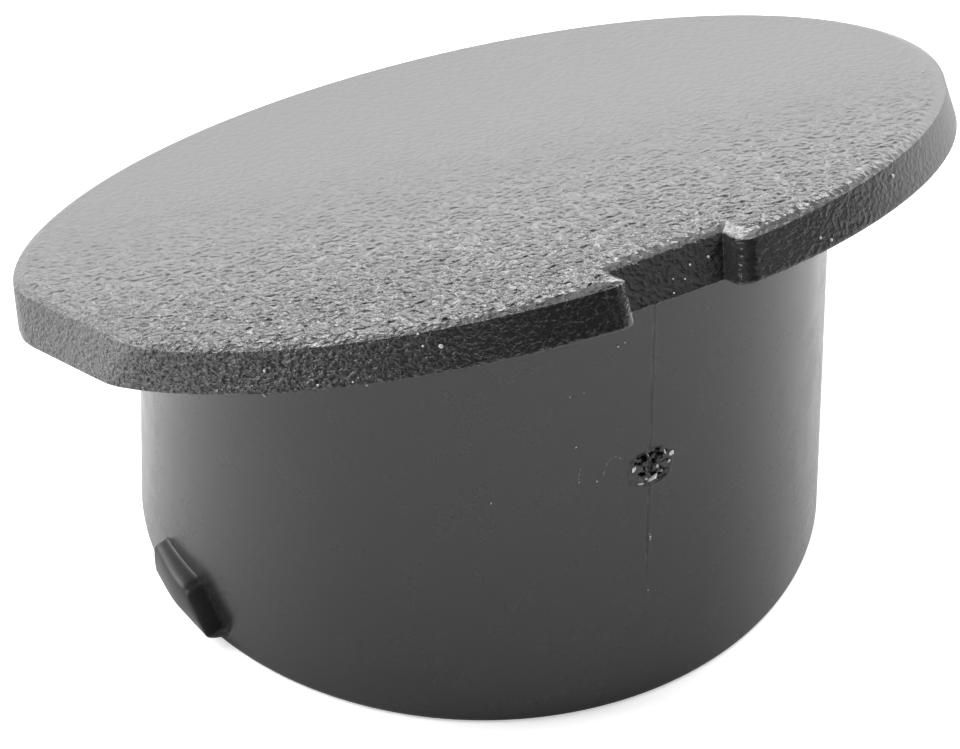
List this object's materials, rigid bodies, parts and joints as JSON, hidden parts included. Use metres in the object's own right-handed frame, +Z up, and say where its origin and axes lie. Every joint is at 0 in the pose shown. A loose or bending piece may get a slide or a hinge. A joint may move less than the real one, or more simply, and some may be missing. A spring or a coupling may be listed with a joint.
{
  "type": "running board end cap",
  "caption": "Moulded black plastic slip-in end cap for a mitred running board tube: sloping grained oval head with a notched rim and flat end on a hollow round barrel with snap lugs.",
  "frame": {"origin": "centre of the barrel's open end, on the plane it stands on", "axes": "+Z up the barrel's axis towards the head, +X along the head's long axis away from its flat end, -Y towards the notch and the head's high side"},
  "size_m": [0.0752, 0.0649, 0.0479],
  "materials": {
    "moulded_plastic": "black moulded polypropylene, spark-grained head, satin barrel"
  },
  "bodies": {
    "root": {"end_cap": "moulded_plastic"}
  },
  "joints": []
}
